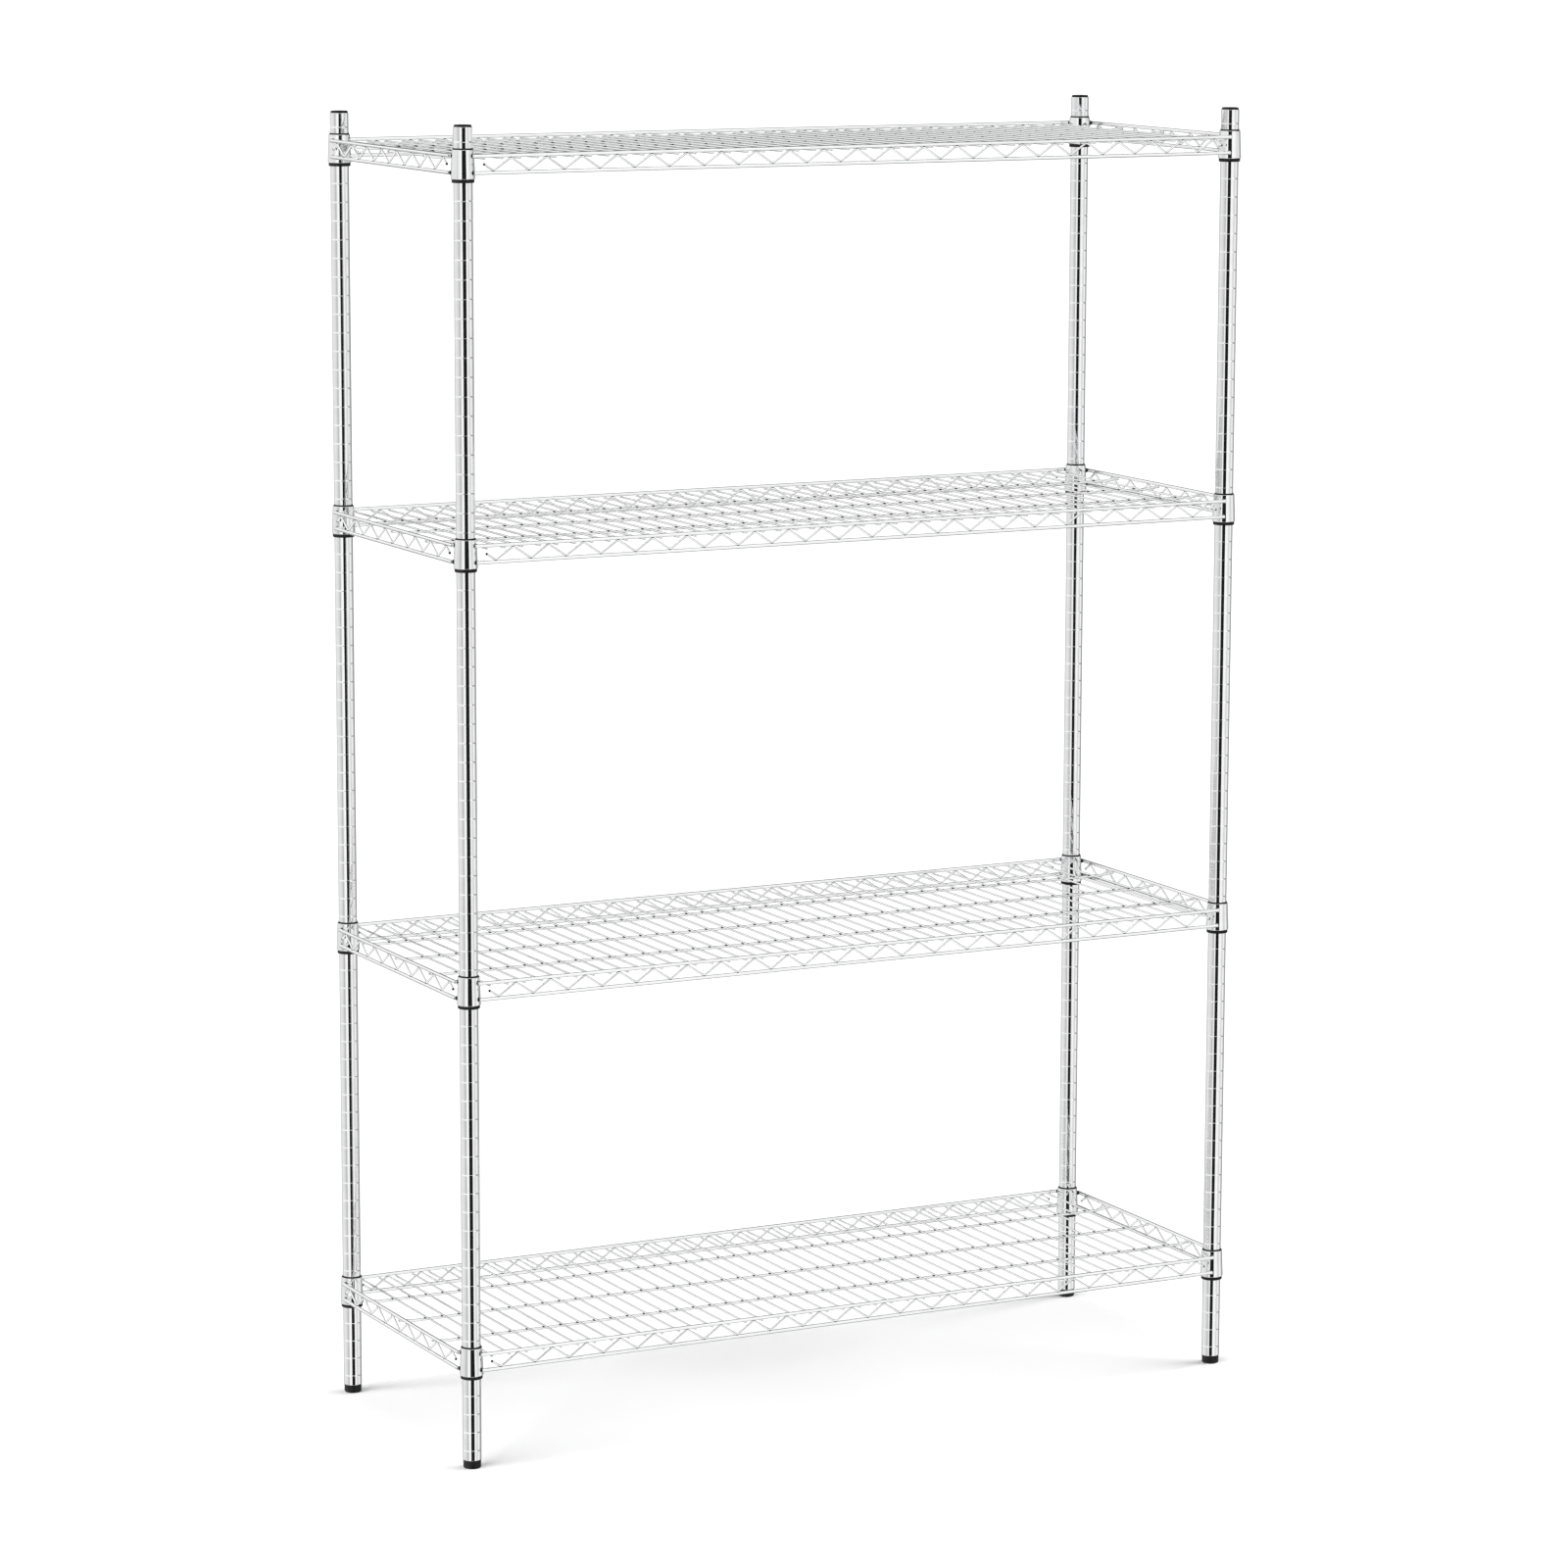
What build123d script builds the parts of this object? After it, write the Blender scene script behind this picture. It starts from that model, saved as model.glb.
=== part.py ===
"""Four-tier wire shelving rack: grooved posts, split sleeves, lift-off wire shelves and levelling feet.

Millimetres. The origin is on the floor at the middle of the rack, +X right, +Y back, +Z up.
"""
from build123d import *
from math import atan2, cos, floor, sqrt
import os

os.makedirs("parts", exist_ok=True)

# ---- driving dimensions ----
shelf_width = 1200.0        # over the outer faces of the side rods
shelf_depth = 450.0         # over the outer faces of the front and rear rods
rack_height = 1800.0        # floor to the top of the post caps
lower_seats = (5, 25)       # grooves of the two lower shelves, counted up from the floor
upper_seats = (22, 2)       # grooves of the two upper shelves, counted down from the top groove

# ---- posts ----
post_diameter = 25.4
post_wall = 1.2
groove_pitch = 25.4
groove_width = 1.4
groove_depth = 0.45
groove_end_margin = 3.0     # plain post left at each end of the grooved stretch

# ---- post caps ----
cap_head_inset = 0.95       # from the post's outer side to the cap head's
cap_head_height = 3.0
cap_plug_length = 12.0
cap_plug_wall = 2.0
cap_edge_radius = 1.0

# ---- levelling feet ----
foot_inset = 0.6            # from the post's outer side to the foot's
foot_height = 11.7
foot_lower_radius = 2.5
foot_upper_radius = 0.8
foot_post_gap = 0.3         # between the foot's top and the post's end, screwed fully in
foot_travel = 20.0
stud_diameter = 8.0
stud_cover = 4.0            # foot material left under the stud
insert_length = 18.0
stud_chamfer = 0.8

# ---- collars and split sleeves ----
collar_height = 38.0
collar_wall = 1.1
collar_edge_radius = 0.35
sleeve_thick_wall = 2.13    # inside the collar's lower edge
sleeve_thin_wall = 0.58     # inside the collar's upper edge
sleeve_edge_radius = 0.2
sleeve_ring_height = 4.5    # the part of the sleeve that shows below the collar
sleeve_ring_gap = 0.25      # between the shown ring and the collar's lower edge
sleeve_top_reach = 2.0      # the part of the sleeve that shows above the collar
sleeve_split = 0.6
sleeve_ridge_groove = 1     # grooves above the seat at which the sleeve's inner ridge sits

# ---- shelf wires ----
rod_diameter = 5.0
deck_wire_diameter = 2.8
truss_wire_diameter = 3.0
support_rod_diameter = 4.0
deck_wire_pitch = 25.4
deck_end_gap = 2.0          # least gap between an outer deck wire and a collar
rod_lap = 1.6               # how far a rod's inner side lies within the collar's upper edge
rod_end_height = 8.0        # from the collar's end to the axis of the nearer rods
truss_bend_radius = 5.0
support_bend_radius = 20.0
support_bend_run = 14.0     # length over which a support rod's end rises to the side rod

# ---- fits ----
press_interference = 0.05   # radial, plug in tube and stud in foot
thread_clearance = 0.05     # radial, stud in insert
sleeve_post_clearance = 0.1     # radial
sleeve_collar_clearance = 0.12  # radial, along the taper
ridge_clearance = 0.15      # between the sleeve's ridge and the bottom of its groove
weld_depth = 0.4            # how far welded wires sink into each other

# ---- worked-out sizes ----
post_radius = post_diameter / 2
tube_radius = post_radius - post_wall
rod_radius = rod_diameter / 2
deck_radius = deck_wire_diameter / 2
truss_radius = truss_wire_diameter / 2
support_radius = support_rod_diameter / 2
stud_radius = stud_diameter / 2
cap_head_radius = post_radius - cap_head_inset
foot_radius = post_radius - foot_inset

# The sleeve fits the post and the collar fits the sleeve, along its taper.
sleeve_bore = post_radius + sleeve_post_clearance
collar_bottom_radius = sleeve_bore + sleeve_thick_wall + sleeve_collar_clearance + collar_wall
collar_top_radius = sleeve_bore + sleeve_thin_wall + sleeve_collar_clearance + collar_wall

rod_offset = collar_top_radius - rod_lap + rod_radius   # from a post's axis to the rods beside it
rod_x = shelf_width / 2 - rod_radius
rod_y = shelf_depth / 2 - rod_radius
post_x = rod_x - rod_offset
post_y = rod_y - rod_offset

post_bottom = foot_height + foot_post_gap
post_top = rack_height - cap_head_height

corners = {
    "front_left": (-post_x, -post_y),
    "front_right": (post_x, -post_y),
    "rear_left": (-post_x, post_y),
    "rear_right": (post_x, post_y),
}


def upright_plane(x, y):
    """The X-Z plane through a post's axis: sketch x is the distance from the axis, sketch y is height."""
    return Plane(origin=(x, y, 0), x_dir=(1, 0, 0), z_dir=(0, -1, 0))


def upright_axis(x, y):
    """A post's axis."""
    return Axis((x, y, 0), (0, 0, 1))


def collar_radius(height):
    """Outer radius of the tapered collar at a height above its lower edge."""
    share = height / collar_height
    return collar_bottom_radius + share * (collar_top_radius - collar_bottom_radius)


def rod_inset(height):
    """How far in from a post's axis a rod ends, so that its end sinks into the collar as a weld does."""
    reach = collar_radius(height) - weld_depth
    beside = rod_offset - rod_radius
    return sqrt(reach**2 - beside**2)


# ================= posts, caps and levelling feet =================
first_groove = floor((post_bottom + groove_end_margin) / groove_pitch) + 1
last_groove = floor((post_top - groove_end_margin) / groove_pitch)
groove_heights = [groove_pitch * number for number in range(first_groove, last_groove + 1)]
seat_grooves = lower_seats + tuple(last_groove - down for down in upper_seats)

for corner, (x, y) in corners.items():
    # Post: a steel tube with a shallow rolled groove at every pitch.
    with BuildPart() as post:
        with BuildSketch(upright_plane(x, y)):
            with BuildLine():
                start = (post_radius, post_bottom)
                for height in groove_heights:
                    lower_lip = (post_radius, height - groove_width / 2)
                    upper_lip = (post_radius, height + groove_width / 2)
                    Line(start, lower_lip)
                    ThreePointArc(lower_lip, (post_radius - groove_depth, height), upper_lip)
                    start = upper_lip
                Polyline(
                    start,
                    (post_radius, post_top),
                    (tube_radius, post_top),
                    (tube_radius, post_bottom),
                    (post_radius, post_bottom),
                )
            make_face()
        revolve(axis=upright_axis(x, y))
    post.part.label = f"post_{corner}"
    export_step(post.part, f"parts/post_{corner}.step")

    # Cap: a moulded head with a hollow plug pressed into the tube.
    with BuildPart() as cap:
        with BuildSketch(Plane.XY.offset(post_top)):
            with Locations((x, y)):
                Circle(cap_head_radius)
        extrude(amount=cap_head_height)
        fillet(cap.edges().group_by(Axis.Z)[-1], cap_edge_radius)
        with BuildSketch(Plane.XY.offset(post_top)):
            with Locations((x, y)):
                Circle(tube_radius + press_interference)
                Circle(tube_radius - cap_plug_wall, mode=Mode.SUBTRACT)
        extrude(amount=-cap_plug_length)
    cap.part.label = f"cap_{corner}"
    export_step(cap.part, f"parts/cap_{corner}.step")

    # Insert: a threaded plug pressed into the lower end of the tube.
    with BuildPart() as insert:
        with BuildSketch(Plane.XY.offset(post_bottom)):
            with Locations((x, y)):
                Circle(tube_radius + press_interference)
                Circle(stud_radius + thread_clearance, mode=Mode.SUBTRACT)
        extrude(amount=insert_length)
    insert.part.label = f"foot_insert_{corner}"
    export_step(insert.part, f"parts/foot_insert_{corner}.step")

    # Foot pad: a moulded disc with a socket for its stud.
    with BuildPart() as pad:
        with BuildSketch(Plane.XY):
            with Locations((x, y)):
                Circle(foot_radius)
        extrude(amount=foot_height)
        fillet(pad.edges().group_by(Axis.Z)[0], foot_lower_radius)
        fillet(pad.edges().group_by(Axis.Z)[-1], foot_upper_radius)
        with BuildSketch(Plane.XY.offset(stud_cover)):
            with Locations((x, y)):
                Circle(stud_radius - press_interference)
        extrude(amount=foot_height, mode=Mode.SUBTRACT)
    pad.part.label = f"foot_pad_{corner}"
    export_step(pad.part, f"parts/foot_pad_{corner}.step")

    # Stud: stays inside the whole insert with the foot screwed out to the end of its travel.
    stud_length = post_bottom + insert_length + foot_travel - stud_cover
    with BuildPart() as stud:
        with BuildSketch(Plane.XY.offset(stud_cover)):
            with Locations((x, y)):
                Circle(stud_radius)
        extrude(amount=stud_length)
        chamfer(stud.edges().group_by(Axis.Z)[-1], stud_chamfer)
    stud.part.label = f"foot_stud_{corner}"
    export_step(stud.part, f"parts/foot_stud_{corner}.step")


# ================= shelves and their sleeves =================
# Deck wires run front to back, the outer ones just clear of the collars.
widest_collar = collar_radius(0)
deck_reach = post_x - widest_collar - deck_radius - deck_end_gap
deck_steps = floor(deck_reach / deck_wire_pitch)
deck_count = 2 * deck_steps + 1

# Truss corners along the front and rear lie halfway between deck wires, the first one low.
long_corners = [
    ((step + 0.5) * deck_wire_pitch, (step + deck_steps) % 2 == 1) for step in range(-deck_steps, deck_steps)
]

# Truss corners along the sides: both end ones are high.
side_reach = post_y - widest_collar - truss_radius - deck_end_gap
side_steps = floor(side_reach / deck_wire_pitch)
side_corners = [
    (step * deck_wire_pitch, (step + side_steps) % 2 == 0) for step in range(-side_steps, side_steps + 1)
]

# Support rods run left to right under the deck, one in the middle and one a quarter in from each
# side, on a half pitch where the side truss is low.
half_pitch = deck_wire_pitch / 2
support_steps = round(rod_y / 2 / half_pitch)
if support_steps % 2 == 0 and (support_steps // 2 + side_steps) % 2 == 0:
    support_steps -= 1
support_rows = (-support_steps * half_pitch, 0.0, support_steps * half_pitch)


def truss_route(corner_list, low, high):
    """Points of a zigzag from corner to corner, with a half leg cut free at each end.

    The bends are rounded, so each corner is moved out until the bend itself reaches low or high.
    """
    rise = high - low
    leg_angle = atan2(rise, deck_wire_pitch)
    for _ in range(4):
        overshoot = truss_bend_radius * (1 / cos(leg_angle) - 1)
        leg_angle = atan2(rise + 2 * overshoot, deck_wire_pitch)
    points = [(along, high + overshoot if is_high else low - overshoot) for along, is_high in corner_list]
    middle = (low + high) / 2
    first = (points[0][0] - deck_wire_pitch / 2, middle)
    last = (points[-1][0] + deck_wire_pitch / 2, middle)
    return [first, *points, last]


for tier, groove in enumerate(seat_grooves, start=1):
    seat = groove * groove_pitch
    sleeve_bottom = seat - sleeve_ring_height / 2
    collar_bottom = seat + sleeve_ring_height / 2 + sleeve_ring_gap
    collar_top = collar_bottom + collar_height
    sleeve_top = collar_top + sleeve_top_reach
    bottom_rod_z = collar_bottom + rod_end_height
    top_rod_z = collar_top - rod_end_height

    # Sleeves: two moulded half shells round each post, held by a ridge in one groove.
    sleeve_low_radius = collar_radius(0) - collar_wall - sleeve_collar_clearance
    sleeve_high_radius = collar_radius(collar_height + sleeve_top_reach) - collar_wall - sleeve_collar_clearance
    ridge_z = seat + sleeve_ridge_groove * groove_pitch
    ridge_radius = post_radius - groove_depth + ridge_clearance
    ridge_half = groove_width / 2 - ridge_clearance
    for corner, (x, y) in corners.items():
        with BuildPart() as sleeve:
            with BuildSketch(upright_plane(x, y)):
                with BuildLine():
                    ThreePointArc(
                        (sleeve_bore, ridge_z - ridge_half),
                        (ridge_radius, ridge_z),
                        (sleeve_bore, ridge_z + ridge_half),
                    )
                    Polyline(
                        (sleeve_bore, ridge_z + ridge_half),
                        (sleeve_bore, sleeve_top),
                        (sleeve_high_radius, sleeve_top),
                        (sleeve_low_radius, collar_bottom),
                        (sleeve_low_radius, sleeve_bottom),
                        (sleeve_bore, sleeve_bottom),
                        (sleeve_bore, ridge_z - ridge_half),
                    )
                make_face()
            revolve(axis=upright_axis(x, y))
            fillet(sleeve.edges().group_by(Axis.Z)[0], sleeve_edge_radius)
            fillet(sleeve.edges().group_by(Axis.Z)[-1], sleeve_edge_radius)
            with BuildSketch(Plane.XY.offset(sleeve_bottom)):
                with Locations((x, y)):
                    Rectangle(3 * sleeve_low_radius, sleeve_split)
            extrude(amount=sleeve_top - sleeve_bottom, mode=Mode.SUBTRACT)
        sleeve.part.label = f"shelf_{tier}_sleeve_{corner}"
        export_step(sleeve.part, f"parts/shelf_{tier}_sleeve_{corner}.step")

    # Collars: tapered steel tubes that wedge down onto the sleeves.
    with BuildPart() as collars:
        for x, y in corners.values():
            with BuildSketch(upright_plane(x, y)):
                with BuildLine():
                    Polyline(
                        (collar_radius(0) - collar_wall, collar_bottom),
                        (collar_radius(0), collar_bottom),
                        (collar_radius(collar_height), collar_top),
                        (collar_radius(collar_height) - collar_wall, collar_top),
                        close=True,
                    )
                make_face()
            revolve(axis=upright_axis(x, y))
        fillet(collars.edges().group_by(Axis.Z)[0], collar_edge_radius)
        fillet(collars.edges().group_by(Axis.Z)[-1], collar_edge_radius)
    collars.part.label = f"shelf_{tier}_collars"
    export_step(collars.part, f"parts/shelf_{tier}_collars.step")

    # Top and bottom frames: four straight rods each, welded to the outer sides of the collars.
    for level, rod_z, height in (
        ("top", top_rod_z, collar_height - rod_end_height),
        ("bottom", bottom_rod_z, rod_end_height),
    ):
        long_end = post_x - rod_inset(height)
        side_end = post_y - rod_inset(height)
        with BuildPart() as frame_rods:
            with BuildSketch(Plane.YZ.offset(-long_end)):
                with Locations((-rod_y, rod_z), (rod_y, rod_z)):
                    Circle(rod_radius)
            extrude(amount=2 * long_end)
            with BuildSketch(Plane.XZ.offset(-side_end)):
                with Locations((-rod_x, rod_z), (rod_x, rod_z)):
                    Circle(rod_radius)
            extrude(amount=2 * side_end)
        frame_rods.part.label = f"shelf_{tier}_{level}_frame"
        export_step(frame_rods.part, f"parts/shelf_{tier}_{level}_frame.step")

    # Deck wires: straight wires welded under the front and rear top rods, cut flush with them.
    deck_z = top_rod_z - rod_radius - deck_radius + weld_depth
    with BuildPart() as deck_wires:
        with BuildSketch(Plane.XZ.offset(-shelf_depth / 2)):
            with Locations((0, deck_z)):
                with GridLocations(deck_wire_pitch, 1, deck_count, 1):
                    Circle(deck_radius)
        extrude(amount=shelf_depth)
    deck_wires.part.label = f"shelf_{tier}_deck_wires"
    export_step(deck_wires.part, f"parts/shelf_{tier}_deck_wires.step")

    # Support rods: welded under the deck wires, each end raised to the underside of a side rod.
    support_z = deck_z - deck_radius - support_radius + weld_depth
    support_end_z = top_rod_z - rod_radius - support_radius + weld_depth
    bend_outer = shelf_width / 2 - rod_diameter
    bend_inner = bend_outer - support_bend_run
    with BuildPart() as support_rods:
        for row in support_rows:
            with BuildLine(Plane.XZ.offset(-row)) as support_path:
                FilletPolyline(
                    (-shelf_width / 2, support_end_z),
                    (-bend_outer, support_end_z),
                    (-bend_inner, support_z),
                    (bend_inner, support_z),
                    (bend_outer, support_end_z),
                    (shelf_width / 2, support_end_z),
                    radius=support_bend_radius,
                )
            with BuildSketch(Plane(origin=support_path.line @ 0, z_dir=support_path.line % 0)):
                Circle(support_radius)
            sweep(path=support_path.line)
    support_rods.part.label = f"shelf_{tier}_support_rods"
    export_step(support_rods.part, f"parts/shelf_{tier}_support_rods.step")

    # Trusses: zigzag wires between the top and bottom rods on all four sides.
    truss_low = bottom_rod_z + rod_radius + truss_radius - weld_depth
    truss_high = top_rod_z - rod_radius - truss_radius + weld_depth
    sides = (
        (Plane.XZ.offset(rod_y), long_corners),
        (Plane.XZ.offset(-rod_y), long_corners),
        (Plane.YZ.offset(-rod_x), side_corners),
        (Plane.YZ.offset(rod_x), side_corners),
    )
    with BuildPart() as truss:
        for side_plane, corner_list in sides:
            with BuildLine(side_plane) as truss_path:
                FilletPolyline(*truss_route(corner_list, truss_low, truss_high), radius=truss_bend_radius)
            with BuildSketch(Plane(origin=truss_path.line @ 0, z_dir=truss_path.line % 0)):
                Circle(truss_radius)
            sweep(path=truss_path.line)
    truss.part.label = f"shelf_{tier}_truss"
    export_step(truss.part, f"parts/shelf_{tier}_truss.step")
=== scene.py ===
"""Looks of the four-tier chrome wire shelving rack: smooth posts, collars, sleeves, wires, caps and feet."""
import math

import bpy
from mathutils import Matrix, Vector


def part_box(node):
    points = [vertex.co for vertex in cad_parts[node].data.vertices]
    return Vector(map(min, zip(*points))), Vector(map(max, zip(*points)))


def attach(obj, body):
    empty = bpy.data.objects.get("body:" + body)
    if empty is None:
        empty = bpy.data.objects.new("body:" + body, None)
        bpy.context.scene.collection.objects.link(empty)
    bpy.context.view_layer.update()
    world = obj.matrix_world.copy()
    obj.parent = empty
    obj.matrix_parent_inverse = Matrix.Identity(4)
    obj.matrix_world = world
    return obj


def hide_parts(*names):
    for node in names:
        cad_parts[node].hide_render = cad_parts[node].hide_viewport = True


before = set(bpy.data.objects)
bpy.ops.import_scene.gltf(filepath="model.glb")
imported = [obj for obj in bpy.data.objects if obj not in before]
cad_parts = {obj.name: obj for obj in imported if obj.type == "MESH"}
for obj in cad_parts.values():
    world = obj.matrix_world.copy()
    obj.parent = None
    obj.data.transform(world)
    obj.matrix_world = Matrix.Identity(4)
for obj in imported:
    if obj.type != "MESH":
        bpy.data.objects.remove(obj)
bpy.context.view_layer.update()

# ---- sizes in metres that the frame's boxes don't give ----
POST_RADIUS = 0.0127
POST_WALL = 0.0012
POST_LIP = 0.0003               # rounding of a post's ends
GROOVE_PITCH = 0.0254
GROOVE_WIDTH = 0.0014
GROOVE_DEPTH = 0.0003
# Across a groove: place in half widths, and share of its depth.
GROOVE_SHAPE = ((-1.5, 0.0), (-1.1, 0.08), (-0.6, 0.55), (0.0, 1.0), (0.6, 0.55), (1.1, 0.08), (1.5, 0.0))
CAP_HEAD_RADIUS = 0.01175
CAP_HEAD_HEIGHT = 0.003
CAP_EDGE_RADIUS = 0.001
CAP_DOME_RISE = 0.0003
CAP_DOME_CREST = 0.0001         # how far the dome has still to rise at a little over half its radius
CAP_PLUG_WALL = 0.002
CAP_PLUG_CHAMFER = (0.0004, 0.0006)
CAP_SEAT_ROUNDING = 0.0002
FOOT_RADIUS = 0.0121
FOOT_LOWER_RADIUS = 0.0025
FOOT_UPPER_RADIUS = 0.0008
FOOT_RINGS = (0.0055, 0.0085)   # heights of the two rings round a foot
FOOT_RING_DEPTH = 0.0002
# Across a foot's ring: place, and share of its depth.
FOOT_RING_SHAPE = ((-0.0006, 0.0), (-0.0003, 0.6), (0.0, 1.0), (0.0003, 0.6), (0.0006, 0.0))
FOOT_STUD_COVER = 0.004         # foot material under the stud
FOOT_SOCKET_CHAMFER = 0.0004
INSERT_CLEARANCE = 0.00005      # between an insert's bore and its stud
INSERT_ROUNDINGS = (0.0004, 0.0004, 0.0006, 0.0004)
STUD_RADIUS = 0.004
STUD_SIDES = 32
STUD_TIP_RUN = 0.0015           # length over which a stud's ends narrow
STUD_TIP_INSET = 0.0006
STUD_TIP_MOST = 0.0004         # the most that a tip lies inside the thread's root
THREAD_PITCH = 0.00125
THREAD_DEPTH = 0.00065
THREAD_STEEPNESS = 1.35         # above 1 leaves a flat crest on the thread
THREAD_ROWS = 8                 # rows of vertices in one turn
COLLAR_TOP_RADIUS = 0.0146
COLLAR_BOTTOM_RADIUS = 0.01615
COLLAR_WALL = 0.0011
SLEEVE_CLEARANCE = 0.00012
SLEEVE_BORE = 0.0128
SLEEVE_SPLIT = 0.0006
SLEEVE_ROUNDINGS = (0.0002, 0.0004, 0.0, 0.0002, 0.0001)
COLLAR_ROUNDINGS = (0.0004, 0.0005, 0.0005, 0.0004)
ROD_RADIUS = 0.0025
DECK_RADIUS = 0.0014
TRUSS_RADIUS = 0.0015
SUPPORT_RADIUS = 0.002
WIRE_PITCH = 0.0254
TRUSS_BEND_RADIUS = 0.005
TRUSS_COLLAR_GAP = 0.002        # least gap between a side truss and a collar
SUPPORT_BEND_RADIUS = 0.020
SUPPORT_BEND_RUN = 0.014

# ---- weld nuggets: half sizes along x, y and z ----
CROSSING_WELD = (0.0031, 0.0027, 0.0013)
TRUSS_WELD = (0.0021, 0.0021, 0.0009)
WIRE_END_WELD = (0.0018, 0.0018, 0.0018)
COLLAR_WELD = (0.0035, 0.0024, 0.0033)
COLLAR_WELD_REACH = 0.0085      # from a post's axis along a rod
NUGGET_SHAPE = [(0.0, -1.0), (0.6, -0.8), (0.9, -0.4), (1.0, 0.0), (0.9, 0.4), (0.6, 0.8), (0.0, 1.0)]

# ---- fineness of the meshes ----
ROUND_SEGMENTS = 64
POST_SEGMENTS = 48
NUGGET_SEGMENTS = 12
LATHE_HOLD = 0.00015            # from an outline's corner to the point that holds its shading
WIRE_SIDES = 16
SUPPORT_SIDES = 20
ROD_SIDES = 24
# At a wire's end: share of the radius, and share of the dome's depth.
DOME_SHAPE = ((0.35, 0.02), (0.72, 0.18), (0.93, 0.5), (0.985, 0.75), (1.0, 0.9))

CORNERS = ("front_left", "front_right", "rear_left", "rear_right")
TIERS = (1, 2, 3, 4)


# ================= mesh code =================
def new_piece(name, vertices, faces, material, body, node, slot, crease=40.0):
    """A smooth mesh that rides on a body and, where a node is given, stands for it."""
    mesh = bpy.data.meshes.new(name)
    mesh.from_pydata(vertices, [], faces)
    mesh.validate()
    mesh.polygons.foreach_set("use_smooth", [True] * len(mesh.polygons))
    mesh.set_sharp_from_angle(angle=math.radians(crease))
    mesh.materials.append(material)
    piece = bpy.data.objects.new(name, mesh)
    bpy.context.scene.collection.objects.link(piece)
    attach(piece, body)
    if node:
        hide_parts(node)
    return piece


def held(points, gap, closed=False):
    """The points, with one more near each end of every long run to keep its smooth shading true."""
    points = [Vector(p) for p in points]
    result = []
    for number, here in enumerate(points):
        result.append(here)
        if number + 1 == len(points) and not closed:
            break
        after = points[(number + 1) % len(points)]
        run = after - here
        if run.length > 4 * gap:
            result.append(here + run.normalized() * gap)
            result.append(after - run.normalized() * gap)
    return result


def lathe(profile, centre, turn=2 * math.pi, start=0.0, segments=ROUND_SEGMENTS):
    """Vertices and faces of a closed (radius, height) outline turned about the vertical through centre.

    A part turn is closed by its two end faces.
    """
    profile = held(profile, LATHE_HOLD, closed=True)
    full = abs(turn - 2 * math.pi) < 1e-6
    steps = segments if full else segments + 1
    count = len(profile)
    vertices = []
    for step in range(steps):
        angle = start + turn * step / segments
        c, s = math.cos(angle), math.sin(angle)
        vertices += [(centre[0] + r * c, centre[1] + r * s, z) for r, z in profile]
    faces = []
    for step in range(segments):
        a, b = step * count, ((step + 1) % steps) * count
        for i in range(count):
            j = (i + 1) % count
            faces.append((a + i, b + i, b + j, a + j))
    if not full:
        faces.append(tuple(range(count)))
        faces.append(tuple(reversed(range((steps - 1) * count, steps * count))))
    return vertices, faces


def solid_lathe(profile, centre, segments=ROUND_SEGMENTS):
    """As lathe, for an outline that starts and ends on the axis."""
    profile = held(profile, LATHE_HOLD)
    inner = profile[1:-1]
    count = len(inner)
    vertices = [(centre[0], centre[1], profile[0][1])]
    for step in range(segments):
        angle = 2 * math.pi * step / segments
        c, s = math.cos(angle), math.sin(angle)
        vertices += [(centre[0] + r * c, centre[1] + r * s, z) for r, z in inner]
    vertices.append((centre[0], centre[1], profile[-1][1]))
    last = len(vertices) - 1
    faces = []
    for step in range(segments):
        a, b = 1 + step * count, 1 + ((step + 1) % segments) * count
        faces.append((0, b, a))
        for i in range(count - 1):
            faces.append((a + i, b + i, b + i + 1, a + i + 1))
        faces.append((last, a + count - 1, b + count - 1))
    return vertices, faces


def rounded(outline, radii, steps=4):
    """A closed (radius, height) outline with each corner rounded by its own radius."""
    points = []
    count = len(outline)
    for i, radius in enumerate(radii):
        before, here, after = (Vector(outline[(i + k) % count]) for k in (-1, 0, 1))
        if radius <= 0:
            points.append(tuple(here))
            continue
        to_before, to_after = (before - here).normalized(), (after - here).normalized()
        half = to_before.angle(to_after) / 2
        back = radius / math.tan(half)
        middle = here + (to_before + to_after).normalized() * (radius / math.sin(half))
        first, last = here + to_before * back, here + to_after * back
        for step in range(steps + 1):
            t = step / steps
            chord = first.lerp(last, t) - middle
            points.append(tuple(middle + chord.normalized() * radius))
    return points


def quarter(middle, radius, start, steps):
    """The points of a quarter circle in a (radius, height) outline, anticlockwise from the start angle."""
    angles = [start + math.pi / 2 * step / steps for step in range(steps + 1)]
    return [(middle[0] + radius * math.cos(angle), middle[1] + radius * math.sin(angle)) for angle in angles]


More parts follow.
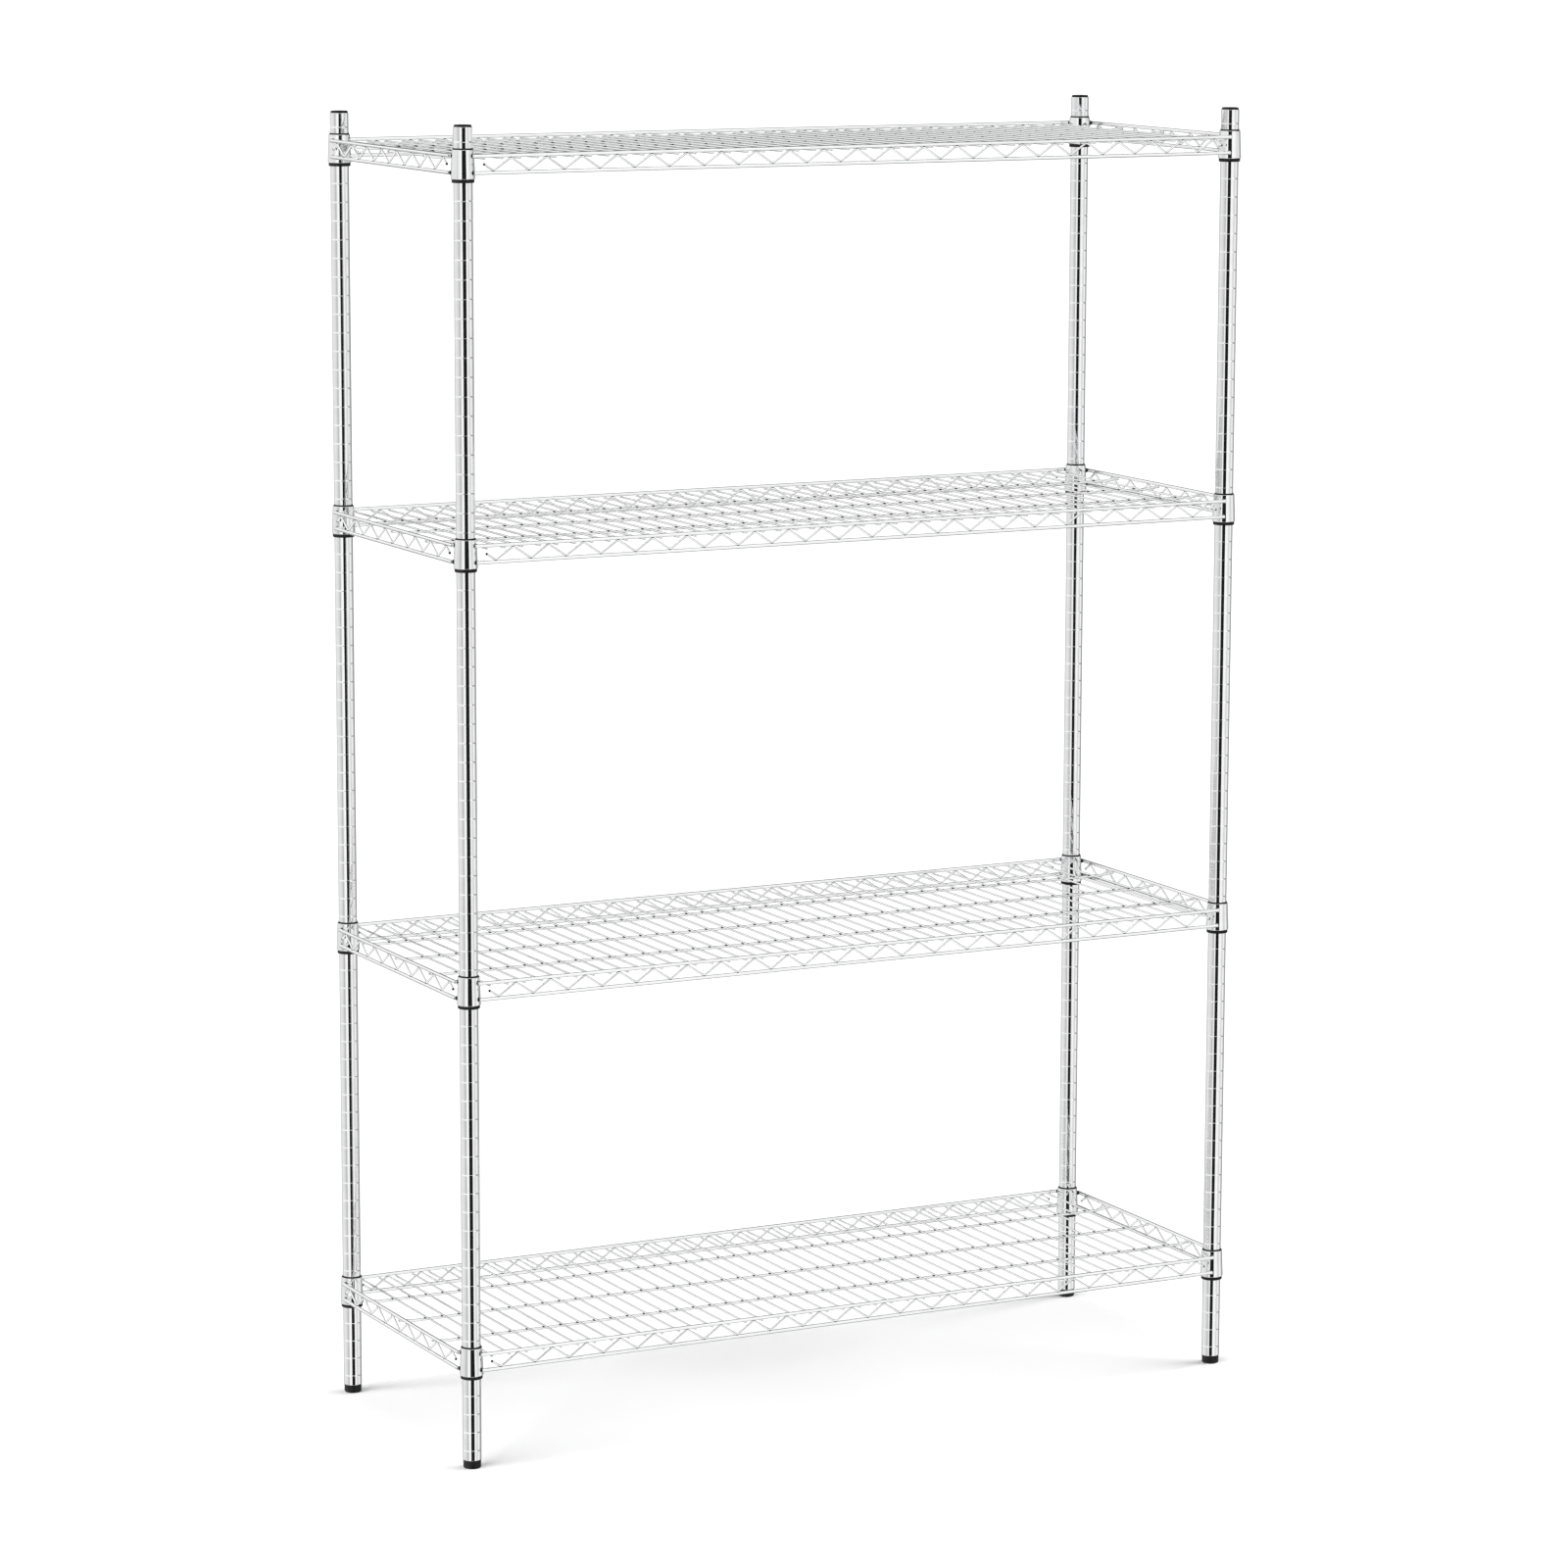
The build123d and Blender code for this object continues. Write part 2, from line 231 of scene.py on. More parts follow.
def tube(path, radius, sides=WIRE_SIDES, dome=0.35):
    """Vertices and faces of a round wire along a list of points, with slightly domed ends."""
    points = held(path, radius / 2)
    tangents = []
    for i in range(len(points)):
        before, after = points[max(i - 1, 0)], points[min(i + 1, len(points) - 1)]
        tangents.append((after - before).normalized())
    across = tangents[0].orthogonal().normalized()
    rings = []
    for i, (point, tangent) in enumerate(zip(points, tangents)):
        across = (across - tangent * across.dot(tangent)).normalized()
        rings.append((point, tangent, across, radius))
    first, last = rings[0], rings[-1]
    depth = radius / 2 * dome
    start_rings = [(first[0] + first[1] * depth * k, *first[1:3], radius * r) for r, k in DOME_SHAPE]
    end_rings = [(last[0] - last[1] * depth * k, *last[1:3], radius * r) for r, k in reversed(DOME_SHAPE)]
    rings = start_rings + rings[1:-1] + end_rings
    vertices = [tuple(points[0])]
    for point, tangent, side, size in rings:
        up = tangent.cross(side)
        for k in range(sides):
            angle = 2 * math.pi * k / sides
            vertices.append(tuple(point + (side * math.cos(angle) + up * math.sin(angle)) * size))
    vertices.append(tuple(points[-1]))
    faces = []
    for k in range(sides):
        n = (k + 1) % sides
        faces.append((0, 1 + n, 1 + k))
        for ring in range(len(rings) - 1):
            a, b = 1 + ring * sides, 1 + (ring + 1) * sides
            faces.append((a + k, a + n, b + n, b + k))
        a = 1 + (len(rings) - 1) * sides
        faces.append((a + k, a + n, len(vertices) - 1))
    return vertices, faces


def joined(shapes):
    """Several (vertices, faces) as one."""
    vertices, faces = [], []
    for more, their in shapes:
        shift = len(vertices)
        vertices += more
        faces += [tuple(i + shift for i in face) for face in their]
    return vertices, faces


def filleted(points, radius, steps=6):
    """A path of straight runs with its corners rounded."""
    points = [Vector(p) for p in points]
    path = [points[0]]
    for before, here, after in zip(points, points[1:], points[2:]):
        to_before, to_after = (before - here).normalized(), (after - here).normalized()
        half = to_before.angle(to_after) / 2
        back = radius / math.tan(half)
        middle = here + (to_before + to_after).normalized() * (radius / math.sin(half))
        first, last = here + to_before * back, here + to_after * back
        for step in range(steps + 1):
            chord = first.lerp(last, step / steps) - middle
            path.append(middle + chord.normalized() * radius)
    path.append(points[-1])
    return path


# ================= materials =================
def shader(name):
    """A new material with nodes: (material, node tree, its Principled BSDF)."""
    material = bpy.data.materials.new(name)
    material.use_nodes = True
    tree = material.node_tree
    return material, tree, tree.nodes["Principled BSDF"]


def noise(tree, scale, detail=3.0, stretch=(1.0, 1.0, 1.0), roughness=0.55):
    """A noise texture in the piece's own coordinates, in metres, stretched along an axis."""
    coordinates = tree.nodes.new("ShaderNodeTexCoord")
    mapping = tree.nodes.new("ShaderNodeMapping")
    mapping.inputs["Scale"].default_value = stretch
    texture = tree.nodes.new("ShaderNodeTexNoise")
    texture.inputs["Scale"].default_value = scale
    texture.inputs["Detail"].default_value = detail
    texture.inputs["Roughness"].default_value = roughness
    tree.links.new(coordinates.outputs["Object"], mapping.inputs["Vector"])
    tree.links.new(mapping.outputs["Vector"], texture.inputs["Vector"])
    return texture.outputs["Fac"]


def ranged(tree, value, low, high, from_low=0.3, from_high=0.7):
    """The value's middle range mapped onto low to high."""
    node = tree.nodes.new("ShaderNodeMapRange")
    node.inputs["From Min"].default_value = from_low
    node.inputs["From Max"].default_value = from_high
    node.inputs["To Min"].default_value = low
    node.inputs["To Max"].default_value = high
    tree.links.new(value, node.inputs["Value"])
    return node.outputs["Result"]


def tinted(tree, value, dark, light):
    """A colour between dark and light by the value."""
    node = tree.nodes.new("ShaderNodeMix")
    node.data_type = "RGBA"
    node.inputs["A"].default_value = (*dark, 1.0)
    node.inputs["B"].default_value = (*light, 1.0)
    tree.links.new(value, node.inputs["Factor"])
    return node.outputs["Result"]


def bumped(tree, height, strength, distance, under=None):
    """A bump from a height, on top of another bump."""
    node = tree.nodes.new("ShaderNodeBump")
    node.inputs["Strength"].default_value = strength
    node.inputs["Distance"].default_value = distance
    tree.links.new(height, node.inputs["Height"])
    if under is not None:
        tree.links.new(under, node.inputs["Normal"])
    return node.outputs["Normal"]


def grey_ramp(tree, share, stops):
    """A grey ramp round the rack, from (bearing in degrees, brightness) stops."""
    ramp = tree.nodes.new("ShaderNodeValToRGB")
    tree.links.new(share, ramp.inputs["Fac"])
    elements = ramp.color_ramp.elements
    elements.remove(elements[-1])
    for number, (bearing, bright) in enumerate(stops):
        place = (bearing + 180) / 360
        element = elements[0] if number == 0 else elements.new(place)
        element.position = place
        element.color = (bright, bright, bright, 1.0)
    return ramp.outputs["Color"]


def blended(tree, factor, first, second):
    """A mix of two colours by a factor; either may be a socket or a grey number."""
    node = tree.nodes.new("ShaderNodeMix")
    node.data_type = "RGBA"
    tree.links.new(factor, node.inputs["Factor"])
    for socket, colour in ((node.inputs["A"], first), (node.inputs["B"], second)):
        if isinstance(colour, float):
            socket.default_value = (colour, colour, colour, 1.0)
        else:
            tree.links.new(colour, socket)
    return node.outputs["Result"]


def smooth_step(tree, value, low, high):
    """0 below low, 1 above high, and smooth between them."""
    node = tree.nodes.new("ShaderNodeMapRange")
    node.interpolation_type = "SMOOTHSTEP"
    node.inputs["From Min"].default_value = low
    node.inputs["From Max"].default_value = high
    tree.links.new(value, node.inputs["Value"])
    return node.outputs["Result"]


def maths(tree, operation, *values):
    """A maths node; each value is a socket or a number."""
    node = tree.nodes.new("ShaderNodeMath")
    node.operation = operation
    for socket, value in zip(node.inputs, values):
        if isinstance(value, float):
            socket.default_value = value
        else:
            tree.links.new(value, socket)
    return node.outputs[0]


def chrome(name, grain, smudge_scale=55.0, rough=(0.025, 0.065), wave=0.00002):
    """Bright chrome plate: faint polishing lines along the grain, slow waves and hazy patches."""
    material, tree, bsdf = shader(name)
    bsdf.inputs["Metallic"].default_value = 1.0
    haze = noise(tree, smudge_scale, detail=4.0)
    dull, bright = (0.86, 0.865, 0.872), (0.93, 0.932, 0.935)
    colour = tinted(tree, ranged(tree, haze, 0.0, 1.0), dull, bright)
    tree.links.new(colour, bsdf.inputs["Base Color"])
    tree.links.new(ranged(tree, haze, *rough), bsdf.inputs["Roughness"])
    lines = noise(tree, scale=2600.0, detail=2.0, stretch=grain)
    waves = noise(tree, scale=90.0, detail=1.0)
    normal = bumped(tree, lines, strength=0.03, distance=0.00002)
    normal = bumped(tree, waves, strength=0.15, distance=wave, under=normal)
    tree.links.new(normal, bsdf.inputs["Normal"])
    return material


def black_plastic(name, rough=(0.34, 0.5), grain_scale=3200.0):
    """Moulded black plastic with a fine spark-eroded grain and slightly polished patches."""
    material, tree, bsdf = shader(name)
    patches = noise(tree, scale=160.0, detail=3.0)
    black, worn = (0.003, 0.003, 0.0032), (0.008, 0.008, 0.0085)
    colour = tinted(tree, ranged(tree, patches, 0.0, 1.0), black, worn)
    tree.links.new(colour, bsdf.inputs["Base Color"])
    tree.links.new(ranged(tree, patches, *rough), bsdf.inputs["Roughness"])
    bsdf.inputs["Specular IOR Level"].default_value = 0.15
    grain = noise(tree, grain_scale, detail=2.0)
    tree.links.new(bumped(tree, grain, strength=0.25, distance=0.00008), bsdf.inputs["Normal"])
    return material


def zinc(name):
    """Zinc-plated steel: satin grey with fine turning lines."""
    material, tree, bsdf = shader(name)
    bsdf.inputs["Metallic"].default_value = 1.0
    patches = noise(tree, scale=400.0, detail=3.0)
    dark, light = (0.5, 0.5, 0.48), (0.68, 0.68, 0.65)
    colour = tinted(tree, ranged(tree, patches, 0.0, 1.0), dark, light)
    tree.links.new(colour, bsdf.inputs["Base Color"])
    tree.links.new(ranged(tree, patches, low=0.22, high=0.4), bsdf.inputs["Roughness"])
    lines = noise(tree, scale=4000.0, detail=2.0, stretch=(0.1, 0.1, 1.0))
    tree.links.new(bumped(tree, lines, strength=0.2, distance=0.00003), bsdf.inputs["Normal"])
    return material


def weld_metal_with_painted_shade(name):
    """Plating over a weld, rough and stained; its near-black colour is painted shade for the dark contact
    shadow where wires meet each other and rods meet the collars.
    """
    material, tree, bsdf = shader(name)
    bsdf.inputs["Metallic"].default_value = 1.0
    stains = noise(tree, scale=900.0, detail=3.0)
    # near black: painted shade at the welds; the stains vary it at random between these two
    dark, light = (0.015, 0.015, 0.016), (0.06, 0.06, 0.06)
    colour = tinted(tree, ranged(tree, stains, 0.0, 1.0), dark, light)
    tree.links.new(colour, bsdf.inputs["Base Color"])
    tree.links.new(ranged(tree, stains, low=0.2, high=0.4), bsdf.inputs["Roughness"])
    tree.links.new(bumped(tree, stains, strength=0.4, distance=0.0001), bsdf.inputs["Normal"])
    return material


# Fine lines run along the axis that is squeezed.
ALONG_X, ALONG_Y, ALONG_Z = (0.02, 1.0, 1.0), (1.0, 0.02, 1.0), (1.0, 1.0, 0.02)
NO_GRAIN = (1.0, 1.0, 1.0)
WIRE_WAVE = 0.000004
post_chrome = chrome("post_chrome", ALONG_Z)
collar_chrome = chrome("collar_chrome", ALONG_Z, smudge_scale=70.0)
rod_chrome = chrome("rod_chrome", ALONG_X, wave=WIRE_WAVE)
deck_chrome = chrome("deck_chrome", ALONG_Y, wave=WIRE_WAVE)
truss_chrome = chrome("truss_chrome", NO_GRAIN, wave=WIRE_WAVE)
cap_black = black_plastic("cap_black", rough=(0.3, 0.42))
sleeve_black = black_plastic("sleeve_black", rough=(0.42, 0.58))
foot_black = black_plastic("foot_black", rough=(0.36, 0.5), grain_scale=2400.0)
insert_black = black_plastic("insert_black")
stud_zinc = zinc("stud_zinc")
# dark weld lumps: their colour is painted shade where wires cross and meet the collars
weld_painted_shade = weld_metal_with_painted_shade("weld_painted_shade")


def post_centre(corner):
    """Where a post's axis stands on the floor."""
    low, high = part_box(f"post_{corner}")
    return (low.x + high.x) / 2, (low.y + high.y) / 2


# ================= posts, caps and feet =================
def make_post(corner):
    """A tube with soft-shouldered rolled grooves and rounded ends."""
    node = f"post_{corner}"
    low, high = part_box(node)
    half = GROOVE_WIDTH / 2
    inner = POST_RADIUS - POST_WALL
    outline = [
        (POST_RADIUS - POST_LIP, low.z),
        (POST_RADIUS - POST_LIP * 0.3, low.z + POST_LIP * 0.3),
        (POST_RADIUS, low.z + POST_LIP),
    ]
    number = math.floor(low.z / GROOVE_PITCH) + 1
    while number * GROOVE_PITCH < high.z - 2 * GROOVE_WIDTH:
        middle = number * GROOVE_PITCH
        for along, deep in GROOVE_SHAPE:
            outline.append((POST_RADIUS - GROOVE_DEPTH * deep, middle + half * along))
        number += 1
    outline += [
        (POST_RADIUS, high.z - POST_LIP),
        (POST_RADIUS - POST_LIP * 0.3, high.z - POST_LIP * 0.3),
        (POST_RADIUS - POST_LIP, high.z),
        (inner, high.z),
        (inner, low.z),
    ]
    shape = lathe(outline, post_centre(corner), segments=POST_SEGMENTS)
    new_piece(f"chrome_post_{corner}", *shape, post_chrome, "posts", node, "post_chrome", crease=50.0)


def make_cap(corner):
    """A low domed head over a hollow plug."""
    node = f"cap_{corner}"
    low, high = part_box(node)
    seat = high.z - CAP_HEAD_HEIGHT
    plug = POST_RADIUS - POST_WALL
    bore = plug - CAP_PLUG_WALL
    inset, rise = CAP_PLUG_CHAMFER
    outline = [(0.0, seat), (bore, seat), (bore, low.z)]
    outline += [(plug - inset, low.z), (plug, low.z + rise), (plug, seat)]
    outline += [(CAP_HEAD_RADIUS - CAP_SEAT_ROUNDING, seat), (CAP_HEAD_RADIUS, seat + CAP_SEAT_ROUNDING)]
    edge_middle = (CAP_HEAD_RADIUS - CAP_EDGE_RADIUS, high.z - CAP_DOME_RISE - CAP_EDGE_RADIUS)
    outline += quarter(edge_middle, CAP_EDGE_RADIUS, 0.0, 6)
    outline.append((CAP_HEAD_RADIUS * 0.55, high.z - CAP_DOME_CREST))
    outline += [(CAP_HEAD_RADIUS * 0.2, high.z), (0.0, high.z)]
    shape = solid_lathe(outline, post_centre(corner))
    new_piece(f"moulded_cap_{corner}", *shape, cap_black, "posts", node, "black_plastic")


def make_insert(corner):
    """A plug with a bore for the stud, which is left plain."""
    node = f"foot_insert_{corner}"
    low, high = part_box(node)
    outer = POST_RADIUS - POST_WALL
    bore = STUD_RADIUS + INSERT_CLEARANCE
    outline = rounded([(bore, low.z), (outer, low.z), (outer, high.z), (bore, high.z)], INSERT_ROUNDINGS)
    shape = lathe(outline, post_centre(corner))
    new_piece(f"threaded_insert_{corner}", *shape, insert_black, "posts", node, "insert_plastic")


def make_pad(corner):
    """A moulded foot: rounded lower edge, two shallow rings round its side and a socket for the stud."""
    node = f"foot_pad_{corner}"
    low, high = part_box(node)
    lower, upper = FOOT_LOWER_RADIUS, FOOT_UPPER_RADIUS
    outline = [(0.0, low.z), (FOOT_RADIUS * 0.5, low.z)]
    outline += quarter((FOOT_RADIUS - lower, low.z + lower), lower, -math.pi / 2, 8)
    for height in FOOT_RINGS:
        for along, deep in FOOT_RING_SHAPE:
            outline.append((FOOT_RADIUS - FOOT_RING_DEPTH * deep, low.z + height + along))
    outline += quarter((FOOT_RADIUS - upper, high.z - upper), upper, 0.0, 5)
    outline += [(STUD_RADIUS + FOOT_SOCKET_CHAMFER, high.z), (STUD_RADIUS, high.z - FOOT_SOCKET_CHAMFER)]
    outline += [(STUD_RADIUS, low.z + FOOT_STUD_COVER), (0.0, low.z + FOOT_STUD_COVER)]
    shape = solid_lathe(outline, post_centre(corner))
    new_piece(f"moulded_foot_{corner}", *shape, foot_black, f"foot_{corner}", node, "foot_plastic")


def make_stud(corner):
    """A stud with a real helical thread and narrowed ends."""
    node = f"foot_stud_{corner}"
    low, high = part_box(node)
    centre = post_centre(corner)
    rows = int((high.z - low.z) / THREAD_PITCH * THREAD_ROWS)
    vertices = []
    for row in range(rows + 1):
        z = low.z + (high.z - low.z) * row / rows
        inset = max(0.0, 1 - min(z - low.z, high.z - z) / STUD_TIP_RUN) * STUD_TIP_INSET
        for side in range(STUD_SIDES):
            phase = (z / THREAD_PITCH - side / STUD_SIDES) % 1.0
            crest = 1 - abs(2 * phase - 1)
            depth = THREAD_DEPTH * (1 - min(1.0, crest * THREAD_STEEPNESS))
            radius = max(STUD_RADIUS - depth - inset, STUD_RADIUS - THREAD_DEPTH - STUD_TIP_MOST)
            angle = 2 * math.pi * side / STUD_SIDES
            vertices.append((centre[0] + radius * math.cos(angle), centre[1] + radius * math.sin(angle), z))
    faces = []
    for row in range(rows):
        this, above = row * STUD_SIDES, (row + 1) * STUD_SIDES
        for side in range(STUD_SIDES):
            after = (side + 1) % STUD_SIDES
            faces.append((this + side, this + after, above + after, above + side))
    faces.append(tuple(reversed(range(STUD_SIDES))))
    faces.append(tuple(range(rows * STUD_SIDES, (rows + 1) * STUD_SIDES)))
    body = f"foot_{corner}"
    new_piece(f"threaded_stud_{corner}", vertices, faces, stud_zinc, body, node, "stud_zinc", crease=60.0)


# ================= shelves =================
def make_sleeve(tier, corner):
    """Two half shells round a post, with a rounded lower ring and an open seam at each side."""
    node = f"shelf_{tier}_sleeve_{corner}"
    low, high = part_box(node)
    collar_low, collar_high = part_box(f"shelf_{tier}_collars")
    slope = (COLLAR_TOP_RADIUS - COLLAR_BOTTOM_RADIUS) / (collar_high.z - collar_low.z)
    bottom = COLLAR_BOTTOM_RADIUS - COLLAR_WALL - SLEEVE_CLEARANCE
    top = bottom + slope * (high.z - collar_low.z)
    outline = rounded(
        [(SLEEVE_BORE, low.z), (bottom, low.z), (bottom, collar_low.z), (top, high.z), (SLEEVE_BORE, high.z)],
        SLEEVE_ROUNDINGS,
    )
    centre = post_centre(corner)
    gap = math.asin(SLEEVE_SPLIT / 2 / SLEEVE_BORE)
    halves = []
    for half in (0, 1):
        start = math.pi * half + gap
        halves.append(lathe(outline, centre, math.pi - 2 * gap, start, ROUND_SEGMENTS // 2))
    new_piece(f"split_sleeve_{tier}_{corner}", *joined(halves), sleeve_black, "posts", node, "sleeve_plastic")


def make_collars(tier):
    """Tapered tubes with rounded rims."""
    node = f"shelf_{tier}_collars"
    low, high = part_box(node)
    outline = rounded(
        [
            (COLLAR_BOTTOM_RADIUS - COLLAR_WALL, low.z),
            (COLLAR_BOTTOM_RADIUS, low.z),
            (COLLAR_TOP_RADIUS, high.z),
            (COLLAR_TOP_RADIUS - COLLAR_WALL, high.z),
        ],
        COLLAR_ROUNDINGS,
    )
    shape = joined([lathe(outline, post_centre(corner)) for corner in CORNERS])
    body = f"shelf_{tier}"
    new_piece(f"tapered_collars_{tier}", *shape, collar_chrome, body, node, "collar_chrome", crease=50.0)


def make_frame(tier, level):
    """Four straight rods whose ends meet the collars' outer sides."""
    node = f"shelf_{tier}_{level}_frame"
    low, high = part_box(node)
    z = (low.z + high.z) / 2
    rod_x, rod_y = high.x - ROD_RADIUS, high.y - ROD_RADIUS
    places = [vertex.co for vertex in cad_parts[node].data.vertices]
    near, clear = ROD_RADIUS / 2, 2 * ROD_RADIUS
    end_x = max(place.x for place in places if abs(place.y) > rod_y - near and abs(place.x) < rod_x - clear)
    end_y = max(place.y for place in places if abs(place.x) > rod_x - near and abs(place.y) < rod_y - clear)
    shapes = []
    for side in (-1, 1):
        shapes.append(tube([(-end_x, side * rod_y, z), (end_x, side * rod_y, z)], ROD_RADIUS, ROD_SIDES))
        shapes.append(tube([(side * rod_x, -end_y, z), (side * rod_x, end_y, z)], ROD_RADIUS, ROD_SIDES))
    new_piece(f"{level}_rods_{tier}", *joined(shapes), rod_chrome, f"shelf_{tier}", node, "wire_chrome")


def deck_places(tier):
    """The deck wires' places from left to right, as many as the frame's box holds."""
    low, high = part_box(f"shelf_{tier}_deck_wires")
    count = round((high.x - low.x - 2 * DECK_RADIUS) / WIRE_PITCH) + 1
    return [(number - (count - 1) / 2) * WIRE_PITCH for number in range(count)]


def make_deck(tier):
    """Straight wires cut flush with the front and rear rods, their ends domed."""
    node = f"shelf_{tier}_deck_wires"
    low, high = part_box(node)
    z = (low.z + high.z) / 2
    shapes = [tube([(x, low.y, z), (x, high.y, z)], DECK_RADIUS, dome=0.8) for x in deck_places(tier)]
    new_piece(f"deck_wires_{tier}", *joined(shapes), deck_chrome, f"shelf_{tier}", node, "wire_chrome")


def make_support_rods(tier):
    """Rods under the deck wires, with each end bent up to the side rod."""
    node = f"shelf_{tier}_support_rods"
    low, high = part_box(node)
    main_z, end_z = low.z + SUPPORT_RADIUS, high.z - SUPPORT_RADIUS
    outer = high.x - 2 * ROD_RADIUS
    inner = outer - SUPPORT_BEND_RUN
    row_y = high.y - SUPPORT_RADIUS
    shapes = []
    for y in (-row_y, 0.0, row_y):
        corners = [(-high.x, y, end_z), (-outer, y, end_z), (-inner, y, main_z)]
        corners += [(inner, y, main_z), (outer, y, end_z), (high.x, y, end_z)]
        shapes.append(tube(filleted(corners, SUPPORT_BEND_RADIUS), SUPPORT_RADIUS, SUPPORT_SIDES))
    new_piece(f"support_rods_{tier}", *joined(shapes), rod_chrome, f"shelf_{tier}", node, "wire_chrome")


def nugget(place, halves):
    """A small smooth lump with these half sizes."""
    vertices, faces = solid_lathe(NUGGET_SHAPE, (0.0, 0.0), NUGGET_SEGMENTS)
    return [tuple(p + v * h for p, v, h in zip(place, vertex, halves)) for vertex in vertices], faces


def make_welds(tier, truss_corners, truss_ends):
    """The small lumps left where wires are welded to each other and rods to collars, coloured dark as painted
    shade for the contact shadow there.
    """
    deck_low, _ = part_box(f"shelf_{tier}_deck_wires")
    _, rods_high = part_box(f"shelf_{tier}_support_rods")
    row_y = rods_high.y - SUPPORT_RADIUS
    crossings = [(x, y, deck_low.z) for x in deck_places(tier) for y in (-row_y, 0.0, row_y)]
    lumps = [nugget(place, CROSSING_WELD) for place in crossings]
    lumps += [nugget(place, TRUSS_WELD) for place in truss_corners]
    lumps += [nugget(place, WIRE_END_WELD) for place in truss_ends]
    for level in ("top", "bottom"):
        low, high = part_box(f"shelf_{tier}_{level}_frame")
        z = (low.z + high.z) / 2
        for corner in CORNERS:
            x, y = post_centre(corner)
            across, back = math.copysign(1.0, x), math.copysign(1.0, y)
            rod_x, rod_y = across * (high.x - 2 * ROD_RADIUS), back * (high.y - 2 * ROD_RADIUS)
            lumps.append(nugget((x - across * COLLAR_WELD_REACH, rod_y, z), COLLAR_WELD))
            lumps.append(nugget((rod_x, y - back * COLLAR_WELD_REACH, z), COLLAR_WELD))
    # the nuggets' dark colour is painted shade at each weld
    new_piece(f"weld_nuggets_{tier}", *joined(lumps), weld_painted_shade, f"shelf_{tier}", None, "wire_chrome")


def zigzag(corner_list, low, high):
    """(along, height) points of a truss wire, whose rounded bends reach low and high."""
    rise = high - low
    angle = math.atan2(rise, WIRE_PITCH)
    # The overshoot of the corners and the slope depend on each other, so they are found by turns.
    for _ in range(4):
        overshoot = TRUSS_BEND_RADIUS * (1 / math.cos(angle) - 1)
        angle = math.atan2(rise + 2 * overshoot, WIRE_PITCH)
    points = [(along, high + overshoot if is_high else low - overshoot) for along, is_high in corner_list]
    middle = (low + high) / 2
    first = (points[0][0] - WIRE_PITCH / 2, middle)
    last = (points[-1][0] + WIRE_PITCH / 2, middle)
    return [first, *points, last]


def make_truss(tier):
    """Zigzag wires between the top and bottom rods on all four sides.

    It gives the places where they touch the rods, and their ends.
    """
    node = f"shelf_{tier}_truss"
    low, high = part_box(node)
    _, frame_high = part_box(f"shelf_{tier}_top_frame")
    rod_x, rod_y = frame_high.x - ROD_RADIUS, frame_high.y - ROD_RADIUS
    bottom, top = low.z + TRUSS_RADIUS, high.z - TRUSS_RADIUS
    steps = round((len(deck_places(tier)) - 1) / 2)
    long_corners = [((step + 0.5) * WIRE_PITCH, (step + steps) % 2 == 1) for step in range(-steps, steps)]
    post_low, post_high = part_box("post_rear_right")
    reach = (post_low.y + post_high.y) / 2 - COLLAR_BOTTOM_RADIUS - TRUSS_RADIUS - TRUSS_COLLAR_GAP
    steps = math.floor(reach / WIRE_PITCH)
    side_corners = [(step * WIRE_PITCH, (step + steps) % 2 == 0) for step in range(-steps, steps + 1)]
    shapes, corners, ends = [], [], []
    for side in (-1, 1):
        for along, is_high in long_corners:
            corners.append((along, side * rod_y, high.z if is_high else low.z))
        for along, is_high in side_corners:
            corners.append((side * rod_x, along, high.z if is_high else low.z))
        long_path = [(along, side * rod_y, z) for along, z in zigzag(long_corners, bottom, top)]
        side_path = [(side * rod_x, along, z) for along, z in zigzag(side_corners, bottom, top)]
        shapes.append(tube(filleted(long_path, TRUSS_BEND_RADIUS), TRUSS_RADIUS))
        shapes.append(tube(filleted(side_path, TRUSS_BEND_RADIUS), TRUSS_RADIUS))
        ends += [long_path[0], long_path[-1], side_path[0], side_path[-1]]
    shape = joined(shapes)
    new_piece(f"truss_wires_{tier}", *shape, truss_chrome, f"shelf_{tier}", node, "wire_chrome", crease=60.0)
    return corners, ends


for corner in CORNERS:
    make_post(corner)
    make_cap(corner)
    make_insert(corner)
    make_pad(corner)
    make_stud(corner)
for tier in TIERS:
    for corner in CORNERS:
        make_sleeve(tier, corner)
    make_collars(tier)
    make_frame(tier, "top")
    make_frame(tier, "bottom")
    make_deck(tier)
    make_support_rods(tier)
    make_welds(tier, *make_truss(tier))


# ================= studio =================
WORLD_ON_MATT = 0.1             # brightness of the surround as matt surfaces are lit by it
WORLD_TO_CAMERA = 1.2
# What round posts reflect: bearings in degrees, 0 towards the rack's front and positive to its right,
# and the brightness there.
POST_STUDIO = (
    (-180, 0.55), (-165, 0.62), (-150, 0.86), (-120, 0.86), (-95, 0.76), (-86, 0.7), (-75, 0.5), (-66, 0.66),
    (-58, 1.0), (-40, 1.05), (0, 1.05), (22, 1.0), (33, 0.78), (50, 0.74), (58, 1.0), (72, 1.0), (84, 0.62),
    (102, 0.36), (120, 0.36), (150, 0.42), (180, 0.55),
)
POST_STUDIO_START = (-0.38, -0.3)   # heights of a direction between which that studio fades in
POST_STUDIO_END = (-0.02, 0.06)     # and out
# What wires reflect above and below that: bright, but for a dark side to the right and behind.
WIRE_STUDIO = (1.08, 0.22)
DARK_SIDE = (0.869, 0.495)      # x and y of the direction to its middle
DARK_ABOVE = (0.3, 0.46)        # shares of that direction between which bright turns dark
DARK_BELOW = (0.16, 0.34)

FLOOR_REACH = 1.5
FLOOR_FADE_X = (0.585, 0.66)
FLOOR_FADE_Y = (0.195, 0.28)
FLOOR_WHITE = 0.9

